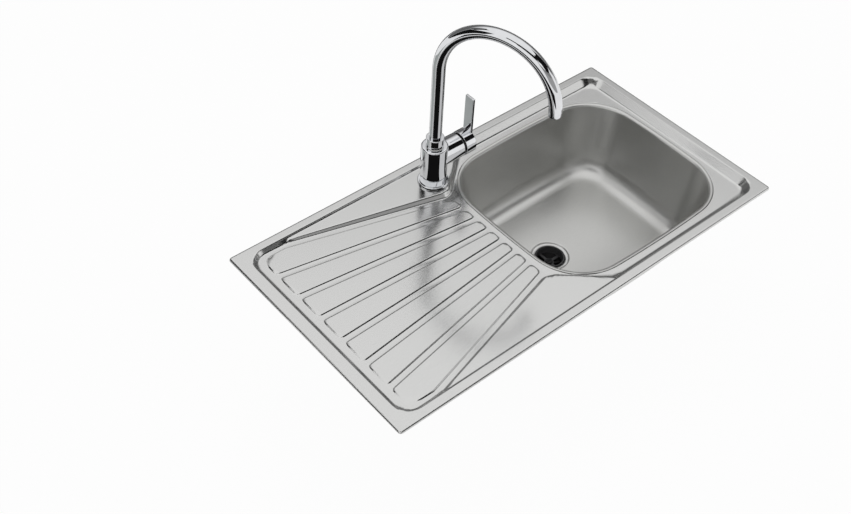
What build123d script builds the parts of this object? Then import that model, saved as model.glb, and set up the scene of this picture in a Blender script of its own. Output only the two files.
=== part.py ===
from build123d import *
import os
from math import cos, radians, sin

os.makedirs("parts", exist_ok=True)

# Kitchen sink with drainboard and a side-lever mixer tap, millimetres.
# Origin: centre of the rim outline, on the plane of the worktop.
# +X runs along the sink towards the bowl, +Y to the back, +Z up.

# ---------------------------------------------------------------- driving dimensions
# deck
sink_length = 860.0
sink_depth = 450.0
sheet = 0.8
rim_height = 4.0
corner_radius = 6.0
rim_front = 17.0          # width of the flat rim at the front and at the back
rim_left = 23.0
rim_right = 17.0
tray_corner = 34.0
step_taper = 40.0         # slope of the step from the rim down to the tray
drain_end_level = -10.0   # tray floor round the bowl
far_end_level = -4.0      # tray floor at the far end of the drainer
far_end_x = -400.0
field_end_x = -30.0
tray_cut_depth = 18.0

# raised ledges beside the drainer
ledge_level = 0.0
ledge_taper = 28.0
ledge_tip = (-33.0, 127.0)
ledge_left = (-373.0, 215.0)
ledge_right = (68.0, 215.0)
ledge_tip_radius = 27.0

# fan of drainer pads
pad_height = 2.0
pad_taper = 51.0
pad_left_x = -384.0
pad_right_x = -35.0
pad_left_pitch = 58.0
pad_right_pitch = 33.1
pad_left_width = 43.5
pad_right_width = 18.9
pad_corner = 5.0
side_pads = 3             # pads on each side of the middle one
outer_pad_limit = 190.5
outer_pad_bend_x = -338.0
outer_pad_corner = 24.0

# bowl
bowl_x = 186.0
bowl_half_length = 201.0
bowl_half_width = 176.5
side_bow = 8.0            # how far a side bulges beyond its corners
bowl_corner = 95.0
bowl_depth = 150.0
wall_draft = 26.0         # how far a wall leans in between lip and floor
lip_radius = 5.0
floor_radius = 38.0
weld_margin = 6.5         # the flange of the bowl ends this far outside the wall
drain_x = 120.0
recess_radius = 37.0
recess_depth = 2.6
waste_hole_radius = 29.0

# waste
strainer_radius = 27.6
waste_flange_radius = 35.0
waste_sheet = 1.0
strainer_depth = 15.4
hub_radius = 9.0
bar_width = 5.0
tail_radius = 23.9
tail_bore = 20.5
tail_end_z = -240.0
waste_screw_radius = 3.0

# underside fittings
seal_width = 8.0
seal_inset = 5.5
rail_length = 90.0

# tap
tap_x = -36.0
tap_y = 165.0
tap_hole_radius = 17.5
base_radius = 28.0
base_height = 5.0
body_radius = 24.0
body_top = 83.0
shank_radius = 16.5
horn_z = 55.5
horn_radius = 22.5
horn_end = 53.5
chamber_radius = 17.4
chamber_floor = 21.0
spout_bore_radius = 14.0
spout_bore_floor = 48.0
tube_radius = 11.0
tube_wall = 1.2
spout_heading = -71.0     # degrees from +X, at rest
spout_arc_radius = 106.0
spout_arc_z = 247.0
spout_drop = 3.0
collar_radius = 16.0
collar_top = 102.0
running_gap = 0.05

# lever
pivot_x = 38.5            # tilt pin, measured from the tap axis
cap_start = 57.5
cap_end = 79.5
cap_radius = 23.0
cap_wall = 1.5
blade_width = 20.0
blade_thickness = 5.0
lever_top = 151.0

# ---------------------------------------------------------------- worked out from them
tray_left_x = -sink_length / 2 + rim_left
tray_right_x = sink_length / 2 - rim_right
tray_back_y = sink_depth / 2 - rim_front
tray_mid_x = (tray_left_x + tray_right_x) / 2
bowl_floor_z = drain_end_level - bowl_depth
recess_z = bowl_floor_z - recess_depth
tube_bore = tube_radius - tube_wall
outlet_z = spout_arc_z - spout_drop
tap_plane = Plane(origin=(tap_x, tap_y, 0))
horn_plane = Plane(origin=(tap_x, tap_y, horn_z), x_dir=(0, 1, 0), z_dir=(1, 0, 0))


def finish(part, node):
    """Give a piece its name and write it."""
    part.label = node
    export_step(part, f"parts/{node}.step")


def above_tap(height):
    """Level plane on the tap axis."""
    return tap_plane.offset(height)


def along_horn(distance):
    """Plane square to the horn: local x is the sink's +Y, local y is up."""
    return horn_plane.offset(distance)


# ---------------------------------------------------------------- deck
def pad_outline(step):
    """Corners of one drainer pad, counted from the middle one, on the +Y side."""
    left_y = step * pad_left_pitch
    right_y = step * pad_right_pitch
    inner_left = (pad_left_x, left_y - pad_left_width / 2)
    inner_right = (pad_right_x, right_y - pad_right_width / 2)
    outer_right = (pad_right_x, right_y + pad_right_width / 2)
    outer_left = (pad_left_x, left_y + pad_left_width / 2)
    if step < side_pads:
        return [inner_left, inner_right, outer_right, outer_left]
    bend = (outer_pad_bend_x, outer_pad_limit)
    return [inner_left, inner_right, outer_right, bend, (pad_left_x, outer_pad_limit)]


fall = far_end_level - drain_end_level
run = field_end_x - far_end_x
pad_plane = Plane(
    origin=(0, 0, far_end_level + pad_height + far_end_x * fall / run),
    x_dir=(run, 0, -fall),
    z_dir=(fall, 0, run),
)

with BuildPart() as tray_air:
    # space above the pressed tray, from the rim level down
    with BuildSketch(Plane.XY.offset(rim_height)):
        with Locations((tray_mid_x, 0)):
            RectangleRounded(tray_right_x - tray_left_x, 2 * tray_back_y, tray_corner)
    extrude(amount=-tray_cut_depth, taper=step_taper)
    with BuildSketch(Plane.XZ):
        with BuildLine():
            Polyline(
                (-sink_length, far_end_level),
                (far_end_x, far_end_level),
                (field_end_x, drain_end_level),
                (sink_length, drain_end_level),
                (sink_length, rim_height),
                (-sink_length, rim_height),
                close=True,
            )
        make_face()
    extrude(amount=sink_depth, both=True, mode=Mode.INTERSECT)
    # raised ledges at the back and at the front
    with BuildSketch(Plane.XY.offset(ledge_level)) as ledges:
        with BuildLine():
            Polyline(ledge_left, ledge_tip, ledge_right, close=True)
        make_face()
        fillet(ledges.vertices().sort_by(Axis.Y)[0], ledge_tip_radius)
        mirror(about=Plane.XZ)
    extrude(amount=-tray_cut_depth, taper=-ledge_taper, mode=Mode.SUBTRACT)
    # the fan of pads stands a little above the sloping floor
    for step in range(side_pads + 1):
        with BuildSketch(pad_plane) as pad:
            with BuildLine():
                Polyline(*pad_outline(step), close=True)
            make_face()
            if step == side_pads:
                outer = pad.vertices().sort_by(Axis.X)[:2].sort_by(Axis.Y)[-1]
                fillet(outer, outer_pad_corner)
            tight = pad.vertices().group_by(Axis.X)[-1]
            if step < side_pads:
                tight = pad.vertices()
            fillet(tight, pad_corner)
            if step > 0:
                mirror(about=Plane.XZ)
        extrude(amount=-1.1 * pad_height, taper=-pad_taper, mode=Mode.SUBTRACT)


def deck_form(drop, inset):
    """Block whose top is the face of the deck, lowered by drop and drawn in by inset."""
    with BuildPart() as form:
        with BuildSketch(Plane.XY.offset(-2 * tray_cut_depth)):
            RectangleRounded(sink_length - 2 * inset, sink_depth - 2 * inset, corner_radius)
        extrude(amount=2 * tray_cut_depth + rim_height - drop)
        chamfer(form.faces().sort_by(Axis.Z)[-1].edges(), length=rim_height)
        add(tray_air.part.moved(Location((0, 0, -drop))), mode=Mode.SUBTRACT)
    return form.part


def bowl_outline(margin):
    """Rounded outline with slightly bowed sides, grown by margin."""
    a = bowl_half_length + margin
    b = bowl_half_width + margin
    c = a - side_bow
    d = b - side_bow
    with BuildSketch() as outline:
        with BuildLine():
            ThreePointArc((bowl_x - c, d), (bowl_x, b), (bowl_x + c, d))
            ThreePointArc((bowl_x + c, d), (bowl_x + a, 0), (bowl_x + c, -d))
            ThreePointArc((bowl_x + c, -d), (bowl_x, -b), (bowl_x - c, -d))
            ThreePointArc((bowl_x - c, -d), (bowl_x - a, 0), (bowl_x - c, d))
        make_face()
        fillet(outline.vertices(), bowl_corner + margin)
    return outline.sketch


fold_inset = sheet * (2 ** 0.5 - 1)
deck_upper = deck_form(0.0, 0.0)
deck_under = deck_form(sheet, fold_inset)

with BuildPart() as deck_pressing:
    add(deck_upper)
    add(deck_under, mode=Mode.SUBTRACT)
    # below the worktop plane only the tray is left
    with BuildSketch(Plane.XY):
        Rectangle(2 * sink_length, 2 * sink_depth)
        with Locations((tray_mid_x, 0)):
            RectangleRounded(tray_right_x - tray_left_x, 2 * tray_back_y, tray_corner, mode=Mode.SUBTRACT)
    extrude(amount=-3 * tray_cut_depth, mode=Mode.SUBTRACT)
    with BuildSketch(Plane.XY.offset(rim_height)):
        add(bowl_outline(weld_margin))
    extrude(amount=-3 * tray_cut_depth, mode=Mode.SUBTRACT)
    with BuildSketch(above_tap(rim_height)):
        Circle(tap_hole_radius)
    extrude(amount=-3 * tray_cut_depth, mode=Mode.SUBTRACT)
finish(deck_pressing.part, "deck_pressing")


# ---------------------------------------------------------------- bowl
def bowl_space(grow, slab_height):
    """Space inside the bowl, grown by grow, under a slab that reaches out to the weld."""
    top = drain_end_level - grow
    with BuildPart() as space:
        with BuildSketch(Plane.XY.offset(top)):
            add(bowl_outline(grow))
        with BuildSketch(Plane.XY.offset(bowl_floor_z - grow)):
            add(bowl_outline(grow - wall_draft))
        loft(ruled=True)
        fillet(space.faces().sort_by(Axis.Z)[0].edges(), floor_radius + grow)
        with BuildSketch(Plane.XY.offset(top)):
            add(bowl_outline(weld_margin))
        extrude(amount=slab_height)
        rim_loop = space.edges().filter_by_position(Axis.Z, top - 0.01, top + 0.01)
        inner = [e for e in rim_loop if e.bounding_box().max.X < bowl_x + bowl_half_length + grow + 1]
        inner = [e for e in inner if e.bounding_box().min.X > bowl_x - bowl_half_length - grow - 1]
        inner = [e for e in inner if max(abs(e.bounding_box().max.Y), abs(e.bounding_box().min.Y))
                 < bowl_half_width + grow + 1]
        fillet(inner, lip_radius - grow)
        # dished seat of the waste
        with BuildSketch(Plane.XY.offset(bowl_floor_z - grow)):
            with Locations((drain_x, 0)):
                Circle(recess_radius + grow)
        extrude(amount=-recess_depth, taper=45)
    return space.part


with BuildPart() as bowl:
    add(bowl_space(sheet, sheet))
    add(bowl_space(0.0, rim_height - drain_end_level), mode=Mode.SUBTRACT)
    with BuildSketch(Plane.XY.offset(bowl_floor_z)):
        with Locations((drain_x, 0)):
            Circle(waste_hole_radius)
    extrude(amount=-4 * recess_depth, mode=Mode.SUBTRACT)
finish(bowl.part, "bowl")


# ---------------------------------------------------------------- waste
seal_thickness = 1.0
flange_bottom_z = recess_z + seal_thickness
flange_top_z = flange_bottom_z + waste_sheet
grid_z = flange_top_z - strainer_depth
bowl_under_z = recess_z - sheet
body_seal_thickness = 2.0
cup_top_z = bowl_under_z - body_seal_thickness
cup_flange_radius = 39.0
cup_bore = strainer_radius + 0.6
cup_wall = 3.0
cup_floor_z = -197.0
tail_top_z = -206.0
hub_top_z = grid_z - 2.0
hub_bottom_z = -193.0
insert_radius = 5.0
neck_length = 8.0
strainer_wall = 1.3
lip_thickness = 0.6
strainer_top_z = grid_z + 1.3

with BuildPart() as waste_flange:
    # pressed flange with a short neck
    with BuildSketch(Plane.XZ):
        with BuildLine():
            Polyline(
                (strainer_radius - waste_sheet, flange_bottom_z - neck_length),
                (strainer_radius, flange_bottom_z - neck_length),
                (strainer_radius, flange_bottom_z),
                (waste_flange_radius, flange_bottom_z),
                (waste_flange_radius, flange_bottom_z + 0.3),
                (waste_flange_radius - 1.5, flange_top_z),
                (strainer_radius - waste_sheet, flange_top_z),
                close=True,
            )
        make_face()
    revolve(axis=Axis.Z)
waste_flange.part.locate(Location((drain_x, 0, 0)))
finish(waste_flange.part, "waste_flange")

with BuildPart() as strainer:
    # moulded cup that hangs in the neck by its lip, with four openings in its floor
    cup_outer = strainer_radius - waste_sheet - 0.1
    cup_inner = cup_outer - strainer_wall
    with BuildSketch(Plane.XZ):
        with BuildLine():
            Polyline(
                (0, grid_z),
                (cup_outer, grid_z),
                (cup_outer, flange_top_z),
                (strainer_radius, flange_top_z),
                (strainer_radius, flange_top_z + lip_thickness),
                (cup_inner, flange_top_z + lip_thickness),
                (cup_inner, strainer_top_z),
                (0, strainer_top_z),
                close=True,
            )
        make_face()
    revolve(axis=Axis.Z)
    with BuildSketch(Plane.XY.offset(grid_z)):
        Circle(cup_inner - 0.6)
        Circle(hub_radius, mode=Mode.SUBTRACT)
        Rectangle(3 * strainer_radius, bar_width, mode=Mode.SUBTRACT)
        Rectangle(bar_width, 3 * strainer_radius, mode=Mode.SUBTRACT)
        Circle(waste_screw_radius)
    extrude(amount=2 * waste_sheet, mode=Mode.SUBTRACT)
strainer.part.locate(Location((drain_x, 0, 0)))
finish(strainer.part, "strainer")


def ring(plane, outer, inner, thickness):
    """Flat ring standing on a plane."""
    with BuildPart() as flat_ring:
        with BuildSketch(plane):
            Circle(outer)
            Circle(inner, mode=Mode.SUBTRACT)
        extrude(amount=thickness)
    return flat_ring.part


waste_plane = Plane(origin=(drain_x, 0, 0))
finish(ring(waste_plane.offset(recess_z), waste_flange_radius - 1, strainer_radius + 1.6, seal_thickness),
       "flange_seal")
finish(ring(waste_plane.offset(cup_top_z), cup_flange_radius - 1, strainer_radius + 1.6, body_seal_thickness),
       "body_seal")

with BuildPart() as waste_body:
    # moulded cup that narrows into the threaded tail
    with BuildSketch(Plane.XZ):
        with BuildLine():
            Polyline(
                (cup_bore, cup_top_z),
                (cup_flange_radius, cup_top_z),
                (cup_flange_radius, cup_top_z - 5),
                (cup_bore + cup_wall, cup_top_z - 7),
                (cup_bore + cup_wall, cup_floor_z),
                (tail_radius + 1.5, tail_top_z + 1),
                (tail_radius + 1.5, tail_top_z - 3),
                (tail_radius, tail_top_z - 3),
                (tail_radius, tail_end_z),
                (tail_bore, tail_end_z),
                (tail_bore, tail_top_z),
                (cup_bore, cup_floor_z + 2),
                close=True,
            )
        make_face()
    revolve(axis=Axis.Z)
    # grip ribs round the cup
    with BuildSketch(Plane.XY.offset(cup_floor_z)):
        with PolarLocations(cup_bore + cup_wall, 12):
            Rectangle(3, 3)
        Circle(cup_bore + 1, mode=Mode.SUBTRACT)
    extrude(amount=cup_top_z - 6 - cup_floor_z)
    # hub on three arms, for the clamping screw
    with BuildSketch(Plane.XY.offset(hub_bottom_z)):
        with PolarLocations(0, 3, start_angle=90):
            with Locations((cup_bore / 2 + 0.5, 0)):
                Rectangle(cup_bore + 1, 4)
        Circle(hub_radius)
    extrude(amount=hub_top_z - hub_bottom_z)
    with BuildSketch(Plane.XY.offset(hub_bottom_z)):
        Circle(insert_radius)
    extrude(amount=hub_top_z - hub_bottom_z, mode=Mode.SUBTRACT)
waste_body.part.locate(Location((drain_x, 0, 0)))
finish(waste_body.part, "waste_body")

insert_height = hub_top_z - hub_bottom_z
finish(ring(waste_plane.offset(hub_bottom_z), insert_radius, waste_screw_radius, insert_height), "waste_insert")

head_radius = 7.0
head_height = 2.6
head_slot = (10.0, 1.6, 1.4)      # length, width and depth

with BuildPart() as waste_screw:
    with BuildSketch(waste_plane.offset(hub_bottom_z)):
        Circle(waste_screw_radius)
    extrude(amount=strainer_top_z - hub_bottom_z)
    with BuildSketch(waste_plane.offset(strainer_top_z)):
        Circle(head_radius)
    extrude(amount=head_height)
    fillet(waste_screw.faces().sort_by(Axis.Z)[-1].edges(), 1.2)
    with BuildSketch(waste_plane.offset(strainer_top_z + head_height)):
        Rectangle(head_slot[0], head_slot[1])
    extrude(amount=-head_slot[2], mode=Mode.SUBTRACT)
finish(waste_screw.part, "waste_screw")

# ---------------------------------------------------------------- underside fittings
rim_under_z = rim_height - sheet
outer_length = sink_length - 2 * seal_inset
outer_depth = sink_depth - 2 * seal_inset

with BuildPart() as rim_seal:
    with BuildSketch(Plane.XY):
        RectangleRounded(outer_length, outer_depth, corner_radius)
        RectangleRounded(
            outer_length - 2 * seal_width, outer_depth - 2 * seal_width, corner_radius, mode=Mode.SUBTRACT
        )
    extrude(amount=rim_under_z)
finish(rim_seal.part, "rim_seal")

pad_offset_x = 65.0       # the pad lies beside the waste, under the flat of the bowl
pad_size = (110.0, 160.0, 2.5)

with BuildPart() as sound_pad:
    with BuildSketch(Plane.XY.offset(bowl_floor_z - sheet)):
        with Locations((bowl_x + pad_offset_x, 0)):
            RectangleRounded(pad_size[0], pad_size[1], 8)
    extrude(amount=-pad_size[2])
finish(sound_pad.part, "sound_pad")

rail_step = 1.2           # web of a rail, measured outwards from the tray
rail_web = 1.0
rail_depth = 12.0
lip_reach = 3.5

rail_places = [
    (x, side * tray_back_y, side * 90.0) for side in (1, -1) for x in (-260.0, 0.0, 260.0)
]
rail_places += [(tray_left_x, 0.0, 180.0), (tray_right_x, 0.0, 0.0)]


def edge_plane(place, shift=0.0):
    """Upright plane across an edge: local x points outwards, local y up."""
    x, y, heading = place
    out_x = cos(radians(heading))
    out_y = sin(radians(heading))
    origin = (x + shift * out_y, y - shift * out_x, 0)
    return Plane(origin=origin, x_dir=(out_x, out_y, 0), z_dir=(out_y, -out_x, 0))


with BuildPart() as clip_rails:
    # folded strips welded under the rim, with a lip turned inwards
    for place in rail_places:
        with BuildSketch(edge_plane(place, -rail_length / 2)):
            with BuildLine():
                Polyline(
                    (rail_step, rim_under_z),
                    (rail_step + rail_web, rim_under_z),
                    (rail_step + rail_web, -rail_depth),
                    (rail_step - lip_reach, -rail_depth),
                    (rail_step - lip_reach, rail_web - rail_depth),
                    (rail_step, rail_web - rail_depth),
                    close=True,
                )
            make_face()
        extrude(amount=rail_length)
finish(clip_rails.part, "clip_rails")

# ---------------------------------------------------------------- tap body
shank_end = -sheet
inlet_x = 5.0
inlet_y = 7.0
inlet_radius = 5.0
inlet_depth = 12.0
stud_x = -9.0
stud_radius = 4.0
stud_depth = 12.0
port_radius = 2.5
port_drop = 12.0          # hot and cold ports, below the horn axis
mixed_drop = 3.0
spout_screw_z = 77.0
spout_screw_radius = 2.5

with BuildPart() as base_ring:
    with BuildSketch(above_tap(0)):
        Circle(base_radius)
        Circle(shank_radius, mode=Mode.SUBTRACT)
    extrude(amount=base_height)
    fillet(base_ring.faces().sort_by(Axis.Z)[-1].edges().sort_by(SortBy.LENGTH)[-1], 2.0)
    with BuildSketch(above_tap(0)):
        Circle(base_radius - 3)
        Circle(base_radius - 6, mode=Mode.SUBTRACT)
    extrude(amount=1.5, mode=Mode.SUBTRACT)
finish(base_ring.part, "base_ring")
finish(ring(above_tap(0), base_radius - 3, base_radius - 6, 1.5), "base_seal")

with BuildPart() as tap_body:
    with BuildSketch(above_tap(base_height)):
        Circle(body_radius)
    extrude(amount=body_top - base_height)
    fillet(tap_body.faces().sort_by(Axis.Z)[-1].edges(), 3.0)
    with BuildSketch(along_horn(0)):
        Circle(horn_radius)
    extrude(amount=horn_end)
    horn_rim = tap_body.faces().sort_by(Axis.X)[-1].edges()
    chamfer(horn_rim, length=0.8)
    with BuildSketch(above_tap(body_top)):
        Circle(collar_radius + 1)
    extrude(amount=horn_radius, mode=Mode.SUBTRACT)
    with BuildSketch(above_tap(shank_end)):
        Circle(shank_radius)
    extrude(amount=base_height - shank_end)
    # chamber of the cartridge and bore of the spout
    with BuildSketch(along_horn(chamber_floor)):
        Circle(chamber_radius)
    extrude(amount=horn_end, mode=Mode.SUBTRACT)
    with BuildSketch(above_tap(spout_bore_floor)):
        Circle(spout_bore_radius)
    extrude(amount=body_top, mode=Mode.SUBTRACT)
    # water ways: two inlets rise and turn into the chamber, the mixed water goes back
    with BuildSketch(above_tap(shank_end)):
        with Locations((inlet_x, inlet_y), (inlet_x, -inlet_y)):
            Circle(inlet_radius)
    extrude(amount=inlet_depth, mode=Mode.SUBTRACT)
    with BuildSketch(above_tap(shank_end)):
        with Locations((inlet_x, inlet_y), (inlet_x, -inlet_y)):
            Circle(port_radius)
    extrude(amount=horn_z - port_drop - shank_end, mode=Mode.SUBTRACT)
    with BuildSketch(along_horn(inlet_x)):
        with Locations((inlet_y, -port_drop), (-inlet_y, -port_drop)):
            Circle(port_radius)
    extrude(amount=chamber_floor - inlet_x + 0.5, mode=Mode.SUBTRACT)
    with BuildSketch(along_horn(0)):
        with Locations((0, -mixed_drop)):
            Circle(port_radius)
    extrude(amount=chamber_floor + 0.5, mode=Mode.SUBTRACT)
    # tapped hole of the stud and of the screw that keeps the spout
    with BuildSketch(above_tap(shank_end)):
        with Locations((stud_x, 0)):
            Circle(stud_radius)
    extrude(amount=stud_depth, mode=Mode.SUBTRACT)
    with BuildSketch(Plane(origin=(tap_x, tap_y, spout_screw_z), x_dir=(1, 0, 0), z_dir=(0, 1, 0))):
        Circle(spout_screw_radius)
    extrude(amount=body_radius + 2, mode=Mode.SUBTRACT)
finish(tap_body.part, "tap_body")

# ---------------------------------------------------------------- fixing under the deck
washer_radius = 24.0
washer_slot_end = -4.0
washer_slot_half = 13.0
rubber_thickness = 3.0
plate_thickness = 2.0
nut_height = 6.5
nut_flats = 13.0


def horseshoe(top_z, thickness):
    """Round plate with a slot for the water ways and a hole for the stud."""
    with BuildPart() as shoe:
        with BuildSketch(above_tap(top_z)):
            Circle(washer_radius)
            with Locations((washer_slot_end + washer_radius, 0)):
                Rectangle(2 * washer_radius, 2 * washer_slot_half, mode=Mode.SUBTRACT)
            with Locations((stud_x, 0)):
                Circle(stud_radius, mode=Mode.SUBTRACT)
        extrude(amount=-thickness)
    return shoe.part


rubber_top = ledge_level - sheet
plate_top = rubber_top - rubber_thickness
nut_top = plate_top - plate_thickness
finish(horseshoe(rubber_top, rubber_thickness), "horseshoe_washer")
finish(horseshoe(plate_top, plate_thickness), "horseshoe_plate")

with BuildPart() as fixing_stud:
    with BuildSketch(above_tap(shank_end + stud_depth)):
        with Locations((stud_x, 0)):
            Circle(stud_radius)
    extrude(amount=-65.0)
    chamfer(fixing_stud.faces().sort_by(Axis.Z)[0].edges(), length=1.0)
finish(fixing_stud.part, "fixing_stud")

with BuildPart() as stud_nut:
    with BuildSketch(above_tap(nut_top)):
        with Locations((stud_x, 0)):
            RegularPolygon(nut_flats / 2, 6, major_radius=False)
            Circle(stud_radius, mode=Mode.SUBTRACT)
    extrude(amount=-nut_height)
finish(stud_nut.part, "stud_nut")

# ---------------------------------------------------------------- turning spout
stem_bottom = 63.0
stem_top = body_top + 1.0
socket_z = 75.0
stem_radius = spout_bore_radius - running_gap
groove_radius = 12.2
o_ring_levels = (66.5, 71.0)
o_ring_radius = 0.85
groove_width = 2.2
keeper_width = 3.4
glide_thickness = 0.9

with BuildPart() as spout_stem:
    with BuildSketch(above_tap(stem_bottom)):
        Circle(stem_radius)
        Circle(tube_bore, mode=Mode.SUBTRACT)
    extrude(amount=stem_top - stem_bottom)
    with BuildSketch(above_tap(socket_z)):
        Circle(tube_radius)
    extrude(amount=stem_top - socket_z, mode=Mode.SUBTRACT)
    grooves = [(level, groove_width) for level in o_ring_levels] + [(spout_screw_z, keeper_width)]
    for level, width in grooves:
        with BuildSketch(above_tap(level - width / 2)):
            Circle(spout_bore_radius + 1)
            Circle(groove_radius, mode=Mode.SUBTRACT)
        extrude(amount=width, mode=Mode.SUBTRACT)
finish(spout_stem.part, "spout_stem")

with BuildPart() as spout_o_rings:
    for level in o_ring_levels:
        with BuildSketch(Plane(origin=(tap_x, tap_y, level), x_dir=(1, 0, 0), z_dir=(0, -1, 0))):
            with Locations((groove_radius + o_ring_radius, 0)):
                Circle(o_ring_radius)
        revolve(axis=Axis((tap_x, tap_y, 0), (0, 0, 1)))
finish(spout_o_rings.part, "spout_o_rings")

glide_bore = spout_bore_radius + running_gap
finish(ring(above_tap(body_top), collar_radius, glide_bore, glide_thickness), "glide_ring")

with BuildPart() as spout_screw:
    with BuildSketch(Plane(origin=(tap_x, tap_y + spout_bore_radius + 0.6, spout_screw_z),
                           x_dir=(1, 0, 0), z_dir=(0, 1, 0))):
        Circle(spout_screw_radius)
    extrude(amount=body_radius - spout_bore_radius - 1.5)
    with BuildSketch(Plane(origin=(tap_x, tap_y + groove_radius + 0.3, spout_screw_z),
                           x_dir=(1, 0, 0), z_dir=(0, 1, 0))):
        Circle(1.3)
    extrude(amount=spout_bore_radius - groove_radius + 0.5)
    with BuildSketch(Plane(origin=(tap_x, tap_y + body_radius, spout_screw_z),
                           x_dir=(1, 0, 0), z_dir=(0, 1, 0))):
        RegularPolygon(1.25, 6, major_radius=False)
    extrude(amount=-4.0, mode=Mode.SUBTRACT)
finish(spout_screw.part, "spout_screw")

with BuildPart() as spout_collar:
    with BuildSketch(above_tap(stem_top)):
        Circle(collar_radius)
    extrude(amount=collar_top - stem_top)
    fillet(spout_collar.faces().sort_by(Axis.Z)[-1].edges(), 1.2)
    chamfer(spout_collar.faces().sort_by(Axis.Z)[0].edges(), length=0.6)
    with BuildSketch(above_tap(stem_top)):
        Circle(tube_radius)
    extrude(amount=collar_top - stem_top, mode=Mode.SUBTRACT)
finish(spout_collar.part, "spout_collar")

heading_x = cos(radians(spout_heading))
heading_y = sin(radians(spout_heading))
spout_plane = Plane(
    origin=(tap_x, tap_y, 0),
    x_dir=(heading_x, heading_y, 0),
    z_dir=(heading_y, -heading_x, 0),
)
reach = 2 * spout_arc_radius

with BuildPart() as spout_tube:
    with BuildLine(spout_plane) as spout_path:
        Line((0, socket_z), (0, spout_arc_z))
        CenterArc((spout_arc_radius, spout_arc_z), spout_arc_radius, 180, -180)
        Line((reach, spout_arc_z), (reach, outlet_z))
    with BuildSketch(above_tap(socket_z)):
        Circle(tube_radius)
        Circle(tube_bore, mode=Mode.SUBTRACT)
    sweep(path=spout_path.wires()[0])
finish(spout_tube.part, "spout_tube")

outlet_plane = Plane(origin=(tap_x + reach * heading_x, tap_y + reach * heading_y, outlet_z))
aerator_wall = 1.0
shell_radius = tube_bore - running_gap

finish(ring(outlet_plane, shell_radius, shell_radius - aerator_wall, 5.0), "aerator_shell")

with BuildPart() as aerator_insert:
    with BuildSketch(outlet_plane.offset(1.0)):
        Circle(shell_radius - aerator_wall)
        with HexLocations(1.7, 5, 5, major_radius=False):
            RegularPolygon(1.1, 6, major_radius=False, mode=Mode.SUBTRACT)
    extrude(amount=3.0)
finish(aerator_insert.part, "aerator_insert")

# ---------------------------------------------------------------- cartridge
base_start = chamber_floor + 1.0
base_end = 26.0
fixed_end = 29.0
slide_gap = 0.02
moving_end = 32.6
carrier_start = 33.0
carrier_end = 45.0
housing_end = 47.0
cartridge_radius = chamber_radius - 0.2
cartridge_bore = 12.05
carrier_radius = 12.0
disc_radius = 9.0
tip_radius = 2.0
tip_start = 30.2
rod_half = 3.5            # half the side of the square spindle
pin_radius = 1.25
slot_half = 6.4
socket_pocket = 3.2


def ports(radius):
    """Hot, cold and mixed ports, for the active sketch across the horn."""
    with Locations((inlet_y, -port_drop), (-inlet_y, -port_drop), (0, -mixed_drop)):
        Circle(radius, mode=Mode.SUBTRACT)


with BuildPart() as cartridge_seals:
    with BuildSketch(along_horn(chamber_floor)):
        with Locations((inlet_y, -port_drop), (-inlet_y, -port_drop), (0, -mixed_drop)):
            Circle(port_radius + 0.8)
        ports(port_radius)
    extrude(amount=base_start - chamber_floor)
finish(cartridge_seals.part, "cartridge_seals")

with BuildPart() as cartridge_base:
    with BuildSketch(along_horn(base_start)):
        Circle(cartridge_radius)
        ports(port_radius)
    extrude(amount=base_end - base_start)
finish(cartridge_base.part, "cartridge_base")

with BuildPart() as cartridge_housing:
    with BuildSketch(along_horn(base_end)):
        Circle(cartridge_radius)
    extrude(amount=housing_end - base_end)
    with BuildSketch(along_horn(base_end)):
        Circle(cartridge_bore)
    extrude(amount=carrier_end + 0.3 - base_end, mode=Mode.SUBTRACT)
    with BuildSketch(along_horn(base_end)):
        Circle(slot_half + 3.2)
    extrude(amount=housing_end, mode=Mode.SUBTRACT)
finish(cartridge_housing.part, "cartridge_housing")

with BuildPart() as fixed_disc:
    with BuildSketch(along_horn(base_end)):
        Circle(carrier_radius)
        with Locations((inlet_y - 1.5, -6), (1.5 - inlet_y, -6), (0, 5)):
            Circle(port_radius, mode=Mode.SUBTRACT)
    extrude(amount=fixed_end - base_end)
finish(fixed_disc.part, "fixed_disc")

with BuildPart() as moving_disc:
    with BuildSketch(along_horn(fixed_end + slide_gap)):
        Circle(disc_radius)
    extrude(amount=moving_end - fixed_end - slide_gap)
    with BuildSketch(along_horn(tip_start - 0.6)):
        Circle(socket_pocket)
    extrude(amount=moving_end, mode=Mode.SUBTRACT)
finish(moving_disc.part, "moving_disc")

pin_plane = Plane(
    origin=(tap_x + pivot_x, tap_y, horn_z),
    x_dir=(1, 0, 0),
    z_dir=(0, 1, 0),
)

with BuildPart() as turn_carrier:
    with BuildSketch(along_horn(carrier_start)):
        Circle(carrier_radius)
        Rectangle(2 * rod_half + 4 * running_gap, 2 * slot_half, mode=Mode.SUBTRACT)
    extrude(amount=carrier_end - carrier_start)
    with BuildSketch(pin_plane.offset(-carrier_radius - 1)):
        Circle(pin_radius)
    extrude(amount=2 * carrier_radius + 2, mode=Mode.SUBTRACT)
finish(turn_carrier.part, "turn_carrier")

with BuildPart() as pivot_pin:
    with BuildSketch(pin_plane.offset(1 - carrier_radius)):
        Circle(pin_radius)
    extrude(amount=2 * carrier_radius - 2)
finish(pivot_pin.part, "pivot_pin")

spindle_end = 73.0
eye_radius = 4.0

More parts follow.
